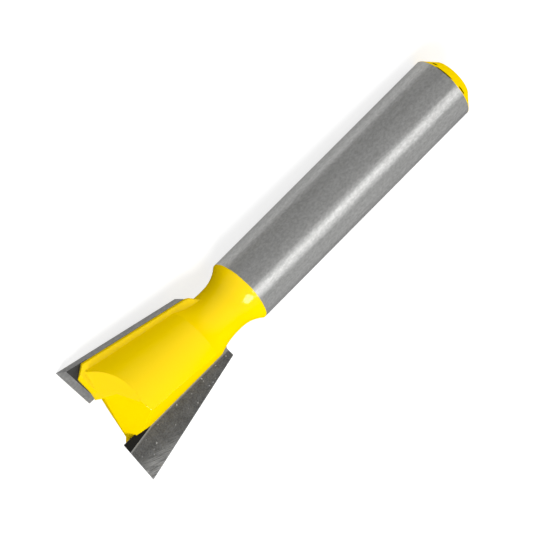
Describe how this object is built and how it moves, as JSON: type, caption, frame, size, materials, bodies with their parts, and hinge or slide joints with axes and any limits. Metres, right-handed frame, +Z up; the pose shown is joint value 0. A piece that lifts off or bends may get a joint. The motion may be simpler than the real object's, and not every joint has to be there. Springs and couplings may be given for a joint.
{
  "type": "dovetail router bit",
  "caption": "Dovetail router bit: round shank, necked waist and flared fluted head with brazed carbide cutting tips, for cutting dovetail slots in wood.",
  "frame": {"origin": "middle of the laid bit's outline box, on the surface that it lies on", "axes": "+X along the bit from its head toward the shank's free end, +Z up"},
  "size_m": [0.0456, 0.0106, 0.0088],
  "materials": {
    "body_paint": "gloss yellow paint on head, waist and shank end, bare ground steel on the shank",
    "carbide": "ground tungsten carbide"
  },
  "bodies": {
    "root": {"cutter_body": "body_paint", "carbide_tip_1": "carbide", "carbide_tip_2": "carbide"}
  },
  "joints": []
}
